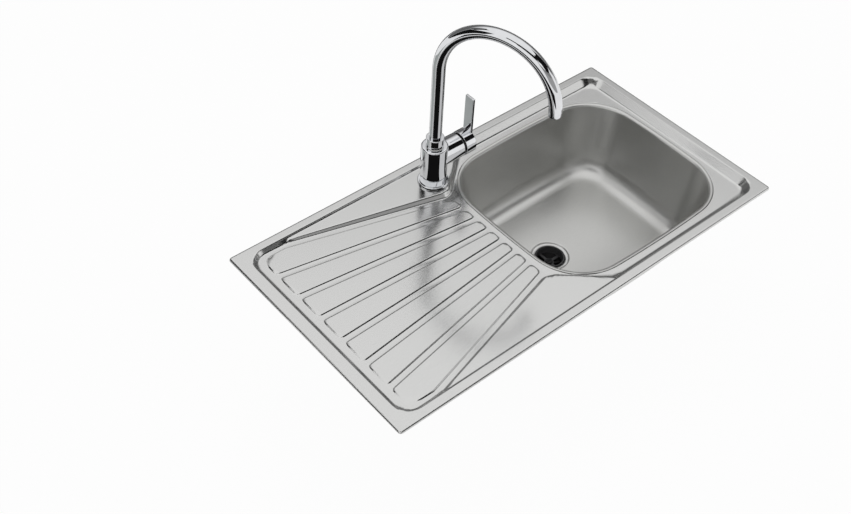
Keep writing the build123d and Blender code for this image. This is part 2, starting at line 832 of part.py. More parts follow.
with BuildPart() as spindle:
    # square rod, an eye on the pin, and a round tip in the moving disc
    with BuildSketch(along_horn(pivot_x + 1)):
        Rectangle(2 * rod_half, 2 * rod_half)
    extrude(amount=spindle_end - pivot_x - 1)
    with BuildSketch(pin_plane.offset(-rod_half)):
        Circle(eye_radius)
    extrude(amount=2 * rod_half)
    with BuildSketch(along_horn(tip_start)):
        Circle(tip_radius)
    extrude(amount=pivot_x - tip_start)
    with BuildSketch(pin_plane.offset(-rod_half - 1)):
        Circle(pin_radius + running_gap)
    extrude(amount=2 * rod_half + 2, mode=Mode.SUBTRACT)
finish(spindle.part, "spindle")

nut_bore = 11.8
finish(ring(along_horn(housing_end), chamber_radius, nut_bore, horn_end - housing_end), "cartridge_nut")
gap_ring_radius = cap_radius - cap_wall - 0.8
finish(ring(along_horn(horn_end), gap_ring_radius, nut_bore + 0.4, cap_start - horn_end - 0.5), "gap_ring")

# ---------------------------------------------------------------- lever
boss_radius = 7.0
boss_start = 63.0
lever_screw_x = 68.5
lever_screw_radius = 2.0
plug_radius = 2.5

with BuildPart() as handle:
    with BuildSketch(along_horn(cap_start)):
        Circle(cap_radius)
    extrude(amount=cap_end - cap_start)
    fillet(handle.faces().sort_by(Axis.X)[-1].edges(), 0.8)
    with BuildSketch(along_horn(cap_start)):
        Circle(cap_radius - cap_wall)
    extrude(amount=cap_end - blade_thickness - cap_start, mode=Mode.SUBTRACT)
    with BuildSketch(along_horn(boss_start)):
        Circle(boss_radius)
        Rectangle(2 * rod_half + running_gap, 2 * rod_half + running_gap, mode=Mode.SUBTRACT)
    extrude(amount=cap_end - blade_thickness - boss_start)
    # flat blade that rises from the outer end of the cap
    blade_x = tap_x + cap_end - blade_thickness / 2
    with BuildSketch(Plane(origin=(blade_x, tap_y, horn_z))):
        RectangleRounded(blade_thickness, blade_width, 0.8)
    extrude(amount=lever_top - horn_z)
    fillet(handle.faces().sort_by(Axis.Z)[-1].edges(), 0.6)
    screw_plane = Plane(origin=(tap_x + lever_screw_x, tap_y, horn_z), x_dir=(1, 0, 0), z_dir=(0, 0, -1))
    with BuildSketch(screw_plane):
        Circle(lever_screw_radius)
    extrude(amount=boss_radius + 1, mode=Mode.SUBTRACT)
    with BuildSketch(screw_plane.offset(boss_radius + 1)):
        Circle(plug_radius)
    extrude(amount=cap_radius, mode=Mode.SUBTRACT)
finish(handle.part, "handle")

with BuildPart() as handle_screw:
    with BuildSketch(screw_plane.offset(rod_half)):
        Circle(lever_screw_radius)
    extrude(amount=5.0)
    with BuildSketch(screw_plane.offset(rod_half + 5.0)):
        RegularPolygon(1.0, 6, major_radius=False)
    extrude(amount=-2.5, mode=Mode.SUBTRACT)
finish(handle_screw.part, "handle_screw")

with BuildPart() as handle_plug:
    with BuildSketch(screw_plane.offset(cap_radius - cap_wall + 0.2)):
        Circle(plug_radius)
    extrude(amount=cap_wall - 0.3)
finish(handle_plug.part, "handle_plug")
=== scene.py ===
from math import cos, pi, radians, sin, tan

import bmesh
import bpy
import numpy as np
from mathutils import Matrix, Vector


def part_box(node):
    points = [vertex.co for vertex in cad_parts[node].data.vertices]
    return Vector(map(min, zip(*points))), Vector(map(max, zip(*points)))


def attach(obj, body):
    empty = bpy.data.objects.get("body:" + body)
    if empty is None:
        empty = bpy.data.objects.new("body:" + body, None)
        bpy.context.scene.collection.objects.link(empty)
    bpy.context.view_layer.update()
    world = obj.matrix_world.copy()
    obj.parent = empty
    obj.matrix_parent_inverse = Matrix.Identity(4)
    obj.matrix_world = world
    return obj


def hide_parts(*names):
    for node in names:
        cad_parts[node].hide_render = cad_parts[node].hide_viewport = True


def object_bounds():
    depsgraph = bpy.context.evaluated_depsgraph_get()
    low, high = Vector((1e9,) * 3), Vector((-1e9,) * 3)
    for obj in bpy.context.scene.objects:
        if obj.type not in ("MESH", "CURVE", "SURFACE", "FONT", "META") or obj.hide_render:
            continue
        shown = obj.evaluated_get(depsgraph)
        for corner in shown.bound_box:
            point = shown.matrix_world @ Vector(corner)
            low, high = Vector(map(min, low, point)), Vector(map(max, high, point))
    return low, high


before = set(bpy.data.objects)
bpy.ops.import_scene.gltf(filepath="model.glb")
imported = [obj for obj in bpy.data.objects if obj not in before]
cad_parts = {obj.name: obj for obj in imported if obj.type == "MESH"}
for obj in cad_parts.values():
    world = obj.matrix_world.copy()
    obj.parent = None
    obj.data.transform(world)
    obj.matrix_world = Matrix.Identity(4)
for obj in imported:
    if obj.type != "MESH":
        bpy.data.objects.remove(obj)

cad_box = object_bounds()

# Kitchen sink with drainboard and a side-lever mixer tap.
# Shapes are worked out in millimetres and put into the meshes in metres.
MM = 0.001


# ======== sizes from the frame
def extent(node):
    """Lowest and highest corner of a solid, in millimetres."""
    low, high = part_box(node)
    return np.array(low) / MM, np.array(high) / MM


deck_high = extent("deck_pressing")[1]
bowl_low, bowl_high = extent("bowl")
flange_low, flange_high = extent("waste_flange")
strainer_low, strainer_high = extent("strainer")
base_low, base_high = extent("base_ring")
body_low, body_high = extent("tap_body")
collar_low, collar_high = extent("spout_collar")
tube_low, tube_high = extent("spout_tube")
handle_low, handle_high = extent("handle")
gap_low, gap_high = extent("gap_ring")

half_length = deck_high[0]
half_depth = deck_high[1]
rim_level = deck_high[2]
sheet = 0.8
edge_corner = 6.0

tray_left = -half_length + 23.0
tray_right = half_length - 17.0
tray_back = half_depth - 17.0
tray_corner = 34.0
step_spread = tan(radians(40.0))      # millimetres inwards for each millimetre down
drain_level = -10.0
far_level = -4.0
far_x = -400.0
field_x = -30.0

ledge_level = 0.0
ledge_spread = tan(radians(28.0))
ledge_tip = np.array([-33.0, 127.0])
ledge_left = np.array([-373.0, 215.0])
ledge_right = np.array([68.0, 215.0])
ledge_tip_radius = 27.0

# within how many millimetres of height two surfaces that meet are rounded together
ledge_top_blend = 2.0
ledge_foot_blend = 2.4
step_foot_blend = 1.8
rim_blend = 0.8
pad_top_blend = 0.45
pad_foot_blend = 0.55

pad_rise = 2.0
pad_spread = tan(radians(51.0))
pad_steepest = tan(radians(45.5))     # spread in the middle of the side, where it is steepest
pad_left = -384.0
pad_right = -35.0
pad_left_pitch = 58.0
pad_right_pitch = 33.1
pad_left_width = 43.5
pad_right_width = 18.9
pad_corner = 5.0
side_pads = 3
outer_pad_limit = 190.5
outer_pad_bend = -338.0
outer_pad_corner = 24.0

weld_margin = 6.5
bowl_x = (bowl_low[0] + bowl_high[0]) / 2
bowl_half = np.array([bowl_high[0] - bowl_x, bowl_high[1]]) - weld_margin
side_bow = 8.0
bowl_corner = 95.0
bowl_floor = -160.0
wall_lean = 26.0                      # the floor outline lies this far inside the lip
lip_radius = 5.0
floor_radius = 38.0
drain_x = (flange_low[0] + flange_high[0]) / 2
recess_radius = 37.0
recess_depth = 2.6
recess_round = 2.5
waste_hole_radius = 29.0

tap_x = (base_low[0] + base_high[0]) / 2
tap_y = (base_low[1] + base_high[1]) / 2
tap_hole_radius = 17.5
spigot_radius = 16.5                  # foot of the body, through the hole
base_radius = (base_high[0] - base_low[0]) / 2
base_top = base_high[2]
body_radius = (body_high[1] - body_low[1]) / 2
body_top = 83.0
horn_z = 55.5
horn_radius = 22.5
horn_end = body_high[0] - tap_x
horn_bore = 12.2
horn_bore_depth = 8.0
gap_ring_bore = 12.3
collar_radius = (collar_high[0] - collar_low[0]) / 2
tube_radius = 11.0
tube_wall = 1.2
spout_heading = radians(-71.0)
spout_arc_radius = 106.0
spout_arc_z = tube_high[2] - spout_arc_radius - tube_radius
spout_foot_z = tube_low[2]
outlet_z = 244.0
cap_start = handle_low[0] - tap_x
cap_end = handle_high[0] - tap_x
cap_radius = (handle_high[1] - handle_low[1]) / 2
cap_wall = 1.5
blade_width = 20.0
blade_thickness = 5.0
blade_corner = 0.8
blade_top_round = 0.7
blade_foot_z = horn_z + 10.0
lever_top = handle_high[2]
overlap = 0.05                        # how far joined pieces run into each other


# ======== mesh tools
def xyz(x, y, z):
    """Points from their three coordinates, each an array or one number."""
    return np.stack(np.broadcast_arrays(x, y, z), axis=-1)


def quads(rows, columns, wrap=False):
    """Corner numbers of the faces between neighbours of a rows by columns grid."""
    last = columns if wrap else columns - 1
    row, column = np.meshgrid(np.arange(rows - 1), np.arange(last), indexing="ij")
    here = row * columns + column
    right = row * columns + (column + 1) % columns
    return np.stack([here, right, right + columns, here + columns], axis=-1).reshape(-1, 4)


def placed(name, data):
    """Object of the scene that shows a mesh, a lamp or a camera."""
    shown = bpy.data.objects.new(name, data)
    bpy.context.scene.collection.objects.link(shown)
    return shown


def lay(name, points, faces, recalculate=False):
    """Object at the origin from points in millimetres and faces as corner numbers."""
    mesh = bpy.data.meshes.new(name)
    mesh.from_pydata((points.reshape(-1, 3) * MM).tolist(), [], faces.tolist())
    piece = placed(name, mesh)
    work = bmesh.new()
    work.from_mesh(mesh)
    bmesh.ops.remove_doubles(work, verts=work.verts, dist=1e-6)
    bmesh.ops.dissolve_degenerate(work, edges=work.edges, dist=1e-7)
    if recalculate:
        bmesh.ops.recalc_face_normals(work, faces=work.faces)
    work.to_mesh(mesh)
    work.free()
    mesh.polygons.foreach_set("use_smooth", np.full(len(mesh.polygons), True))
    mesh.update()
    return piece


def rounded(corners, steps=6, support=0.25):
    """Profile through corners (a, b, radius): a corner with a radius becomes an arc
    tangent to both of its sides, and each end of the arc has a support point just outside
    it, which keeps the flat beside it flat."""
    line = [np.array(corners[0][:2], float)]
    for before, corner, after in zip(corners, corners[1:], corners[2:]):
        at = np.array(corner[:2], float)
        radius = corner[2] if len(corner) > 2 else 0.0
        if radius == 0.0:
            line.append(at)
            continue
        back = np.array(before[:2], float) - at
        ahead = np.array(after[:2], float) - at
        back /= np.linalg.norm(back)
        ahead /= np.linalg.norm(ahead)
        half = np.arccos(np.clip(back @ ahead, -1, 1)) / 2
        reach = radius / tan(half)
        middle = back + ahead
        centre = at + middle / np.linalg.norm(middle) * radius / sin(half)
        start = at + back * reach - centre
        end = at + ahead * reach - centre
        sweep = pi - 2 * half
        shares = np.linspace(0, 1, steps + 1)
        line.append(at + back * (reach + support))
        for share in shares:
            swung = (sin((1 - share) * sweep) * start + sin(share * sweep) * end) / sin(sweep)
            line.append(centre + swung)
        line.append(at + ahead * (reach + support))
    line.append(np.array(corners[-1][:2], float))
    return np.array(line)


def turned(name, profile, centre, along="z", steps=96):
    """Surface of a turned part: the profile (radius, distance along the axis) carried
    round an axis through centre. Points are centre + radius * (cos, sin) + distance."""
    angle = np.linspace(0, 2 * pi, steps, endpoint=False)
    radius, distance = profile[:, :1], profile[:, 1:2]
    across = radius * np.cos(angle)
    other = radius * np.sin(angle)
    order = {"z": (across, other, distance), "x": (distance, across, other)}[along]
    points = xyz(*order) + np.array(centre, float)
    return lay(name, points, quads(len(profile), steps, wrap=True), recalculate=True)


def finish(piece, body, nodes, material):
    """The piece rides on its body, stands for its solids and takes its finish."""
    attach(piece, body)
    if nodes:
        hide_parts(*nodes)
    piece.data.materials.clear()
    piece.data.materials.append(material)


# ======== colours and nodes
def linear(code):
    """Linear red, green, blue and alpha from an sRGB hex colour."""
    parts = np.array([int(code[i:i + 2], 16) for i in (1, 3, 5)]) / 255
    values = np.where(parts <= 0.04045, parts / 12.92, ((parts + 0.055) / 1.055) ** 2.4)
    return (*values.tolist(), 1.0)


def add(tree, kind, inputs, outputs={}, **settings):
    """A node with its settings: each input is set to a value, or linked to the socket or
    to the first output of the node it comes from, and each output goes to its socket."""
    node = tree.nodes.new(kind)
    for name, value in settings.items():
        setattr(node, name, value)
    for name, value in inputs.items():
        if isinstance(value, bpy.types.Node):
            value = value.outputs[0]
        if isinstance(value, bpy.types.NodeSocket):
            tree.links.new(value, node.inputs[name])
        else:
            node.inputs[name].default_value = value
    for name, socket in outputs.items():
        tree.links.new(node.outputs[name], socket)
    return node


def emptied(block):
    """Node tree of a new material or world, with the nodes it starts with taken out."""
    block.use_nodes = True
    block.node_tree.nodes.clear()
    return block.node_tree


def new_material(name, constants):
    """Material with one shader, whose constants are set here: gives the material, its
    tree, the shader's inputs and the object coordinates."""
    material = bpy.data.materials.new(name)
    tree = emptied(material)
    shader = add(tree, "ShaderNodeBsdfPrincipled", constants)
    add(tree, "ShaderNodeOutputMaterial", {"Surface": shader})
    place = tree.nodes.new("ShaderNodeTexCoord").outputs["Object"]
    return material, tree, shader.inputs, place


def grain(size_mm):
    """Noise scale for a pattern whose features are this many millimetres across."""
    return 1.0 / (size_mm * MM)


def satin_stainless(name, dark, light, rough):
    """Satin 18/10 stainless sheet, pressed and then fine-brushed: a soft, even shine with a
    fine speckle. The real grit marks are about 0.05 mm wide, too fine to show, so the
    speckle is drawn 1.1 mm across and the brush streaks 0.8 mm wide."""
    material, tree, surface, place = new_material(name, {"Metallic": 1.0})
    speck = add(tree, "ShaderNodeTexNoise", {"Vector": place, "Scale": grain(1.1), "Detail": 3.0})
    along = add(tree, "ShaderNodeMapping", {"Vector": place, "Scale": (0.05, 1.0, 1.0)})
    streak = add(tree, "ShaderNodeTexNoise", {"Vector": along, "Scale": grain(0.8)})
    both = add(tree, "ShaderNodeMath", {0: speck, 1: streak}, operation="ADD")
    share = add(tree, "ShaderNodeMapRange", {"Value": both, "From Min": 0.7, "From Max": 1.3})
    add(tree, "ShaderNodeMix", {"Factor": share, "A": linear(dark), "B": linear(light)},
        {"Result": surface["Base Color"]}, data_type="RGBA")
    add(tree, "ShaderNodeMapRange",
        {"Value": share, "To Min": rough - 0.03, "To Max": rough + 0.03},
        {"Result": surface["Roughness"]})
    add(tree, "ShaderNodeBump", {"Height": both, "Strength": 0.03, "Distance": 0.05 * MM},
        {"Normal": surface["Normal"]})
    return material


def plated_chrome(name, dark, light, rough):
    """Bright chrome plate over polished brass: mirror-like, with a trace of haze in
    patches 14 mm across where the polishing wheel has passed."""
    material, tree, surface, place = new_material(name, {"Metallic": 1.0})
    haze = add(tree, "ShaderNodeTexNoise", {"Vector": place, "Scale": grain(14.0), "Detail": 3.0})
    add(tree, "ShaderNodeMix", {"Factor": haze, "A": linear(dark), "B": linear(light)},
        {"Result": surface["Base Color"]}, data_type="RGBA")
    add(tree, "ShaderNodeMapRange", {"Value": haze, "To Min": rough * 0.5, "To Max": rough * 1.5},
        {"Result": surface["Roughness"]})
    return material


def moulded_plastic(name, dark, light, rough, shine=0.5):
    """Injection-moulded polypropylene or acetal: even colour with a fine moulded grain
    0.6 mm across and slightly uneven gloss. A low shine keeps a black part deep black."""
    constants = {"IOR": 1.49, "Specular IOR Level": shine}
    material, tree, surface, place = new_material(name, constants)
    fine = add(tree, "ShaderNodeTexNoise", {"Vector": place, "Scale": grain(0.6)})
    broad = add(tree, "ShaderNodeTexNoise", {"Vector": place, "Scale": grain(9.0)})
    add(tree, "ShaderNodeMix", {"Factor": broad, "A": linear(dark), "B": linear(light)},
        {"Result": surface["Base Color"]}, data_type="RGBA")
    add(tree, "ShaderNodeMapRange", {"Value": broad, "To Min": rough - 0.1, "To Max": rough + 0.1},
        {"Result": surface["Roughness"]})
    add(tree, "ShaderNodeBump", {"Height": fine, "Strength": 0.25, "Distance": 0.04 * MM},
        {"Normal": surface["Normal"]})
    return material


def soft_sheet(name, dark, light, pore_mm, depth_mm):
    """Rubber, foam or bitumen: matt and dark, with pores of pore_mm that are drawn deeper
    than the real ones so that they show."""
    constants = {"Roughness": 0.85, "Specular IOR Level": 0.3}
    material, tree, surface, place = new_material(name, constants)
    pores = add(tree, "ShaderNodeTexNoise",
                {"Vector": place, "Scale": grain(pore_mm), "Detail": 4.0})
    add(tree, "ShaderNodeMix", {"Factor": pores, "A": linear(dark), "B": linear(light)},
        {"Result": surface["Base Color"]}, data_type="RGBA")
    add(tree, "ShaderNodeBump", {"Height": pores, "Strength": 0.6, "Distance": depth_mm * MM},
        {"Normal": surface["Normal"]})
    return material


def zinc_coated(name, dark, light):
    """Galvanised pressed steel: pale grey metal with a mottled zinc bloom of patches
    about 5 mm across."""
    material, tree, surface, place = new_material(name, {"Metallic": 1.0})
    patch = add(tree, "ShaderNodeTexVoronoi", {"Vector": place, "Scale": grain(5.0)})
    add(tree, "ShaderNodeMix", {"Factor": patch, "A": linear(dark), "B": linear(light)},
        {"Result": surface["Base Color"]}, data_type="RGBA")
    add(tree, "ShaderNodeMapRange", {"Value": patch, "To Min": 0.38, "To Max": 0.55},
        {"Result": surface["Roughness"]})
    return material


def turned_metal(name, dark, light, rough):
    """Bar turned on a lathe, bare brass or blackened steel: fine tool rings 0.4 mm apart."""
    material, tree, surface, place = new_material(name, {"Metallic": 1.0})
    across = add(tree, "ShaderNodeMapping", {"Vector": place, "Scale": (0.05, 0.05, 1.0)})
    rings = add(tree, "ShaderNodeTexNoise", {"Vector": across, "Scale": grain(0.4)})
    add(tree, "ShaderNodeMix", {"Factor": rings, "A": linear(dark), "B": linear(light)},
        {"Result": surface["Base Color"]}, data_type="RGBA")
    add(tree, "ShaderNodeMapRange", {"Value": rings, "To Min": rough - 0.1, "To Max": rough + 0.1},
        {"Result": surface["Roughness"]})
    return material


def fired_alumina(name, dark, light):
    """Lapped alumina ceramic: ivory white, hard and glossy, faintly cloudy inside."""
    material, tree, surface, place = new_material(name, {"IOR": 1.76})
    cloud = add(tree, "ShaderNodeTexNoise", {"Vector": place, "Scale": grain(2.5), "Detail": 3.0})
    add(tree, "ShaderNodeMix", {"Factor": cloud, "A": linear(dark), "B": linear(light)},
        {"Result": surface["Base Color"]}, data_type="RGBA")
    add(tree, "ShaderNodeMapRange", {"Value": cloud, "To Min": 0.12, "To Max": 0.26},
        {"Result": surface["Roughness"]})
    return material


deck_steel = satin_stainless("satin_brushed_stainless", "#cfcfce", "#d7d7d6", 0.19)
bowl_steel = satin_stainless("satin_drawn_stainless", "#cbcbc9", "#d2d2d0", 0.33)
waste_steel = satin_stainless("polished_stainless_flange", "#bdbdbc", "#d0d0cf", 0.14)
chrome = plated_chrome("chrome_plate_on_brass", "#d4d5d7", "#e6e7e9", 0.04)
# Black polypropylene for the waste body. On the ring in the lever's gap the same black is partly
# painted shade.
black_plastic_and_gap_shade = moulded_plastic("black_polypropylene_and_painted_gap_shade", "#080809", "#101011", 0.42, 0.25)
# The strainer's dark grey is partly the plastic's own colour and partly painted shade: it stands
# for the shade down in the waste cup.
strainer_plastic_and_hole_shade = moulded_plastic("dark_grey_polypropylene_and_painted_hole_shade", "#434344", "#4b4b4c", 0.6, 0.3)
white_plastic = moulded_plastic("white_acetal", "#dcdcd6", "#ecece7", 0.38)
plug_plastic = moulded_plastic("grey_acetal_plug", "#6f7173", "#7d7f81", 0.4)
seal_rubber = soft_sheet("black_nitrile_rubber", "#0f0f10", "#1b1b1c", 0.7, 0.03)
foam = soft_sheet("grey_closed_cell_foam", "#4b4d4f", "#6c6e70", 1.2, 0.25)
bitumen = soft_sheet("bitumen_sound_pad", "#1c1b1a", "#34312e", 2.2, 0.35)
zinc = zinc_coated("galvanised_steel", "#8f9497", "#b9bdbf")
brass = turned_metal("turned_brass", "#a8813f", "#c9a35c", 0.27)
# The waste screw's black is partly a real black oxide finish and partly painted shade: it keeps the
# middle of the waste as dark as its shade.
black_steel_and_hole_shade = turned_metal("black_oxide_steel_and_painted_hole_shade", "#2a2a2b", "#39393a", 0.45)
alumina = fired_alumina("fired_alumina", "#e4ddd0", "#f3efe6")


# ======== deck
def soft_min(a, b, blend):
    """Lower of two heights, rounded where they come within blend of each other."""
    share = np.clip(0.5 + 0.5 * (b - a) / blend, 0, 1)
    return b + (a - b) * share - blend * share * (1 - share)


def soft_max(a, b, blend):
    """Higher of two heights, rounded where they come within blend of each other."""
    return -soft_min(-a, -b, blend)


def inside_box(x, y, half_x, half_y, radius):
    """Distance in from the outline of a rounded rectangle centred on the origin."""
    far_x = np.abs(x) - (half_x - radius)
    far_y = np.abs(y) - (half_y - radius)
    outer = np.hypot(np.maximum(far_x, 0), np.maximum(far_y, 0))
    return radius - outer - np.minimum(np.maximum(far_x, far_y), 0)


def inside_corner(a, b, radius):
    """Distance in from two edges that meet in a round corner, from the distances a and b
    to the edges: the arc's radius less the distance to its centre near the corner."""
    short_a = np.maximum(radius - a, 0)
    short_b = np.maximum(radius - b, 0)
    both = (short_a > 0) & (short_b > 0)
    return np.where(both, radius - np.hypot(short_a, short_b), np.minimum(a, b))


def edge_normal(start, end):
    """Unit normal on the left of the way from start to end."""
    way = (end - start) / np.linalg.norm(end - start)
    return np.array([-way[1], way[0]])


ledge_back_normal = edge_normal(ledge_left, ledge_tip)
ledge_end_normal = edge_normal(ledge_tip, ledge_right)
ledge_fall = (ledge_tip[1] - ledge_left[1]) / (ledge_tip[0] - ledge_left[0])
ledge_rise = (ledge_right[1] - ledge_tip[1]) / (ledge_right[0] - ledge_tip[0])


def inside_ledge(x, y):
    """Distance in from the edges of a raised ledge, whose tip is rounded."""
    run_x, run_y = x - ledge_tip[0], y - ledge_tip[1]
    from_back = run_x * ledge_back_normal[0] + run_y * ledge_back_normal[1]
    from_end = run_x * ledge_end_normal[0] + run_y * ledge_end_normal[1]
    middle = ledge_back_normal + ledge_end_normal
    middle = middle / np.linalg.norm(middle)
    spanned = ledge_back_normal @ middle
    centre = ledge_tip + middle * ledge_tip_radius / spanned
    off_x, off_y = x - centre[0], y - centre[1]
    reach = np.hypot(off_x, off_y)
    by_tip = -(off_x * middle[0] + off_y * middle[1]) > reach * spanned
    return np.where(by_tip, ledge_tip_radius - reach, np.minimum(from_back, from_end))


def pad_edges(x, step):
    """The y of the inner and the outer edge of a drainer pad at x, on the +Y side."""
    share = np.clip((x - pad_left) / (pad_right - pad_left), 0, 1)
    middle = step * (pad_left_pitch + share * (pad_right_pitch - pad_left_pitch))
    half = (pad_left_width + share * (pad_right_width - pad_left_width)) / 2
    outer = middle + half
    if step == side_pads:
        end_y = side_pads * pad_right_pitch + pad_right_width / 2
        slope = (end_y - outer_pad_limit) / (pad_right - outer_pad_bend)
        outer = np.minimum(outer_pad_limit, end_y + (x - pad_right) * slope)
    return middle - half, outer


def pad_height(x, y):
    """Height of the fan of pads over the tray floor: each pad is a flat top whose edge
    slopes down round a line halfway down its side, rounded at top and foot."""
    side = np.abs(y)
    total = np.zeros_like(x)
    for step in range(side_pads + 1):
        inner, outer = pad_edges(x, step)
        if step == 0:
            inner = -outer
        left_outer_corner = outer_pad_corner if step == side_pads else pad_corner
        inside = np.minimum.reduce([
            inside_corner(x - pad_left, side - inner, pad_corner),
            inside_corner(x - pad_left, outer - side, left_outer_corner),
            inside_corner(pad_right - x, side - inner, pad_corner),
            inside_corner(pad_right - x, outer - side, pad_corner),
        ])
        side_slope = pad_rise / 2 + (inside + pad_rise * pad_spread / 2) / pad_steepest
        pad = soft_max(0.0, soft_min(pad_rise, side_slope, pad_top_blend), pad_foot_blend)
        total = np.maximum(total, pad)
    return total


def deck_height(x, y):
    """Top of the pressing. The rim is level, its outer edge turns down in a quarter round,
    and inside it a sloping step leads to the tray. The tray floor falls to the bowl and
    carries the pads, and the two ledges stand above it."""
    edge = np.clip(inside_box(x, y, half_length, half_depth, edge_corner), 0, rim_level)
    fold = np.sqrt(rim_level ** 2 - (rim_level - edge) ** 2)
    middle = (tray_left + tray_right) / 2
    into_tray = inside_box(x - middle, y, (tray_right - tray_left) / 2, tray_back, tray_corner)
    step = rim_level - into_tray / step_spread
    share = np.clip((x - far_x) / (field_x - far_x), 0, 1)
    floor = far_level + share * (drain_level - far_level)
    ledge_side = ledge_level + inside_ledge(x, np.abs(y)) / ledge_spread
    ledge = soft_min(np.full_like(x, ledge_level), ledge_side, ledge_top_blend)
    ground = soft_max(floor + pad_height(x, y), ledge, ledge_foot_blend)
    tray = soft_max(step, ground, step_foot_blend)
    top = soft_min(np.full_like(x, rim_level), tray, rim_blend)
    return np.where(edge < rim_level, fold, top)


# Where the grid of the deck has its lines. Insets are inwards from the outline or from the
# top edge of a pad, and each step width is the room that the grid leaves for the step.
fold_lines = rim_level * (1 - np.cos(np.linspace(0, pi / 2, 7)))
rim_insets = np.array([5.0, 7.5, 12.0])
across_edge = np.array([0.6, 0.2, -0.25, -0.7, -1.8, -2.4, -3.15])
left_step, ledge_step, right_step = 8.0, 5.2, 13.0
step_changes_at = [-345.0, -325.0, 50.0, 75.0]
step_line_count = 17
ledge_line_count = 8
top_line_count = 16
least_gap = 0.18
corner_row_y = 150.0


def arcs_of_outline():
    """The bowl outline is four slightly bowed sides and four round corners, all arcs that
    meet tangentially. Gives centre and radius of the side, corner and back arc of the
    first quarter, and the two directions in which neighbouring arcs meet."""
    a, b = bowl_half
    back_radius = ((a - side_bow) ** 2 + side_bow ** 2) / (2 * side_bow)
    side_radius = ((b - side_bow) ** 2 + side_bow ** 2) / (2 * side_bow)
    back_centre = np.array([0.0, b - back_radius])
    side_centre = np.array([a - side_radius, 0.0])
    from_back = back_radius - bowl_corner
    from_side = side_radius - bowl_corner
    way = side_centre - back_centre
    apart = np.linalg.norm(way)
    way /= apart
    along = (from_back ** 2 - from_side ** 2 + apart ** 2) / (2 * apart)
    off = np.sqrt(from_back ** 2 - along ** 2)
    corner_centre = back_centre + along * way + off * np.array([way[1], -way[0]])
    to_side = corner_centre - side_centre
    to_back = corner_centre - back_centre
    arcs = [(side_centre, side_radius), (corner_centre, bowl_corner), (back_centre, back_radius)]
    return arcs, np.arctan2(to_side[1], to_side[0]), np.arctan2(to_back[1], to_back[0])


bowl_arcs, side_end, back_start = arcs_of_outline()
arc_centres = np.array([arc[0] for arc in bowl_arcs])
arc_radii = np.array([arc[1] for arc in bowl_arcs])


def bowl_outline(direction, margin):
    """Point of the bowl outline whose outward normal has this direction, grown by margin:
    arc centre + (arc radius + margin) * (cos, sin) of the direction."""
    run_x, run_y = np.cos(direction), np.sin(direction)
    folded = np.arctan2(np.abs(run_y), np.abs(run_x))
    which = (folded > side_end).astype(int) + (folded > back_start).astype(int)
    radius = arc_radii[which] + margin
    x = np.sign(run_x) * (arc_centres[which, 0] + radius * np.abs(run_x))
    y = np.sign(run_y) * (arc_centres[which, 1] + radius * np.abs(run_y))
    return bowl_x + x, y


def step_width(x):
    """Room that the grid leaves for the sloping step: wide where the tray is deep, narrow
    along the ledges, with gradual changes between."""
    return np.interp(x, step_changes_at, [left_step, ledge_step, ledge_step, right_step])


def step_lines(width):
    """Distances outwards from the tray line at which the grid has lines, from the rim
    inwards: close together round the step's top edge, then evenly spaced to width."""
    edge = np.array([1.2, 0.5, 0.2, -0.1, -0.4, -0.8])
    shares = np.linspace(0, 1, step_line_count - len(edge) + 1)[1:]
    close = [reach + 0 * width for reach in edge]
    return close + [edge[-1] - (width + edge[-1]) * share for share in shares]


def half_rows(x):
    """The y of each grid line of the +Y half of the deck, at columns x left of the bowl.
    Lines run along the pad edges, the ledge, the step, the rim and the fold."""
    lines = []
    for step in range(side_pads + 1):
        inner, outer = pad_edges(x, step)
        if step == 0:
            lines += [share * (outer - across_edge[0]) for share in (0.0, 0.35, 0.7)]
        else:
            edge = [inner + offset for offset in across_edge[::-1]]
            lines.append((lines[-1] + edge[0]) / 2)
            lines += edge
            shares = np.linspace(0, 1, 9 if step == side_pads else 5)[1:-1]
            first, last = inner + across_edge[0], outer - across_edge[0]
            lines += [first * (1 - share) + last * share for share in shares]
        lines += [outer - offset for offset in across_edge]
    width = step_width(x)
    share = np.clip((x - far_x) / (field_x - far_x), 0, 1)
    depth = ledge_level - far_level + share * (far_level - drain_level)
    back = ledge_tip[1] + (x - ledge_tip[0]) * ledge_fall
    ledge = []
    top = tray_back - width - least_gap * top_line_count
    # the ledge's side, from its foot at -1 to its top edge at 0, and a little on each side
    for count, reach in enumerate((-1.35, -1.1, -0.85, -0.6, -0.35, -0.1, 0.2, 0.5)):
        bound = top - least_gap * (ledge_line_count - count)
        ledge.append(np.minimum(back + reach * depth * ledge_spread, bound))
    for share in (0.25, 0.5, 0.75):
        lines.append(lines[-1] + (ledge[0] - lines[-1]) * share)
    lines += ledge
    last = lines[-1]
    shares = np.linspace(0, 1, top_line_count + 1)[1:-1]
    lines += [last + (tray_back - width - last) * share for share in shares]
    lines += [tray_back + reach for reach in step_lines(width)[::-1]]
    lines += [half_depth - inset + 0 * x for inset in (*rim_insets[::-1], *fold_lines[::-1])]
    return np.array(np.broadcast_arrays(*lines))


def spaced(*stations):
    """Values from station to station: each entry is (end, count of steps to it)."""
    values = [stations[0][0]]
    for end, count in stations[1:]:
        values += np.linspace(values[-1], end, count + 1)[1:].tolist()
    return np.array(values)


